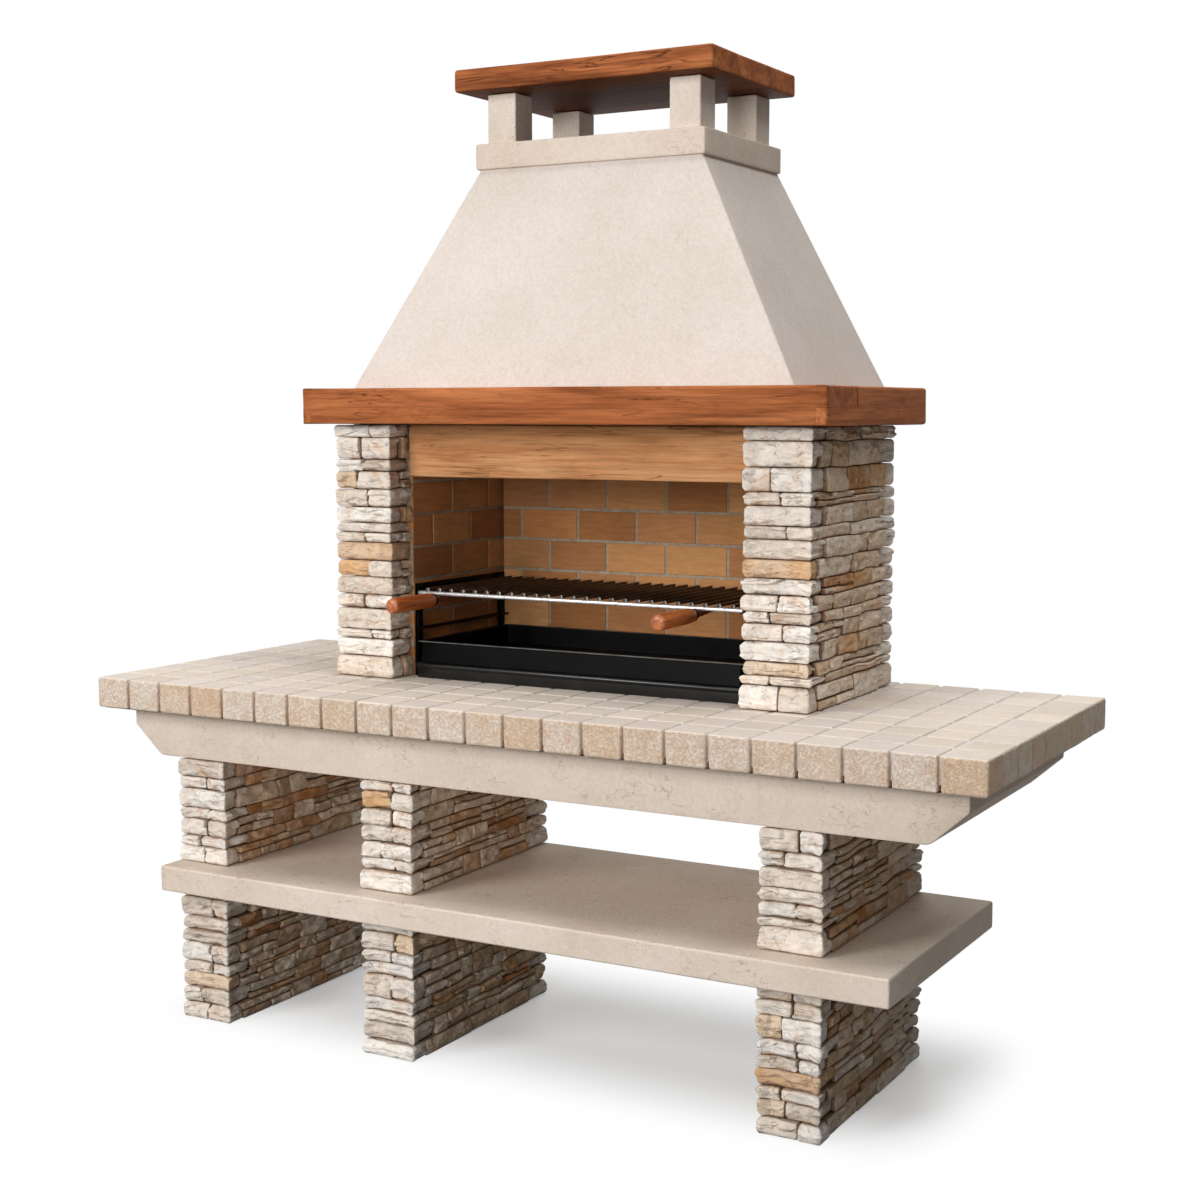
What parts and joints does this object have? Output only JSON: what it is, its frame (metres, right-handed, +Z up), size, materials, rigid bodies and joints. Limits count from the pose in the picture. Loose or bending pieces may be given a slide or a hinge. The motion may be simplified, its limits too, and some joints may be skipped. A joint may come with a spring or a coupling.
{
  "type": "masonry barbecue",
  "caption": "Masonry barbecue with stone-faced piers, a sett worktop, a brick-lined fireplace under a timber mantel and hood, and a grill and ember tray that slide out.",
  "frame": {"origin": "on the floor, under the middle of the worktop", "axes": "+X to the right along the front, +Y to the back, +Z up"},
  "size_m": [2.3, 0.9, 2.351],
  "materials": {
    "ledgestone": "rough split face",
    "sett": "tumbled",
    "concrete": "smooth cast, faintly mottled",
    "mortar": "rough",
    "firebrick": "matt",
    "stained_timber": "stained, satin",
    "pale_timber": "oiled",
    "handle_wood": "varnished",
    "black_steel": "satin black",
    "dark_steel": "heat-darkened",
    "bright_steel": "polished"
  },
  "bodies": {
    "masonry": {"back_firebricks": "firebrick", "chimney_cap": "stained_timber", "chimney_collar": "concrete", "chimney_front_left_post": "concrete", "chimney_front_right_post": "concrete", "chimney_rear_left_post": "concrete", "chimney_rear_right_post": "concrete", "fire_back_wall": "mortar", "fire_lintel": "pale_timber", "left_column_core": "mortar", "left_column_stones": "ledgestone", "left_firebricks": "firebrick", "left_guide_frame": "black_steel", "left_pier_lower_core": "mortar", "left_pier_lower_stones": "ledgestone", "left_pier_upper_core": "mortar", "left_pier_upper_stones": "ledgestone", "mantel_front_beam": "stained_timber", "mantel_left_beam": "stained_timber", "mantel_rear_beam": "stained_timber", "mantel_right_beam": "stained_timber", "middle_pier_lower_core": "mortar", "middle_pier_lower_stones": "ledgestone", "middle_pier_upper_core": "mortar", "middle_pier_upper_stones": "ledgestone", "right_column_core": "mortar", "right_column_stones": "ledgestone", "right_firebricks": "firebrick", "right_guide_frame": "black_steel", "right_pier_lower_core": "mortar", "right_pier_lower_stones": "ledgestone", "right_pier_upper_core": "mortar", "right_pier_upper_stones": "ledgestone", "smoke_hood": "concrete", "storage_shelf": "concrete", "support_slab": "concrete", "tray_stand": "black_steel", "worktop_bed": "mortar", "worktop_edge_setts": "sett", "worktop_field_setts": "sett"},
    "grill": {"grill_frame": "dark_steel", "grill_front_bar": "bright_steel", "grill_rods": "dark_steel", "left_handle_ferrule": "black_steel", "left_handle_grip": "handle_wood", "left_handle_neck": "dark_steel", "right_handle_ferrule": "black_steel", "right_handle_grip": "handle_wood", "right_handle_neck": "dark_steel"},
    "ember_tray": {"ember_tray": "black_steel"}
  },
  "joints": [
    {"name": "grill_slide", "type": "slide", "parent": "masonry", "child": "grill", "axis": [0, -1, 0], "range_m": [0, 0.2]},
    {"name": "ember_tray_slide", "type": "slide", "parent": "masonry", "child": "ember_tray", "axis": [0, -1, 0], "range_m": [0, 0.25]}
  ]
}
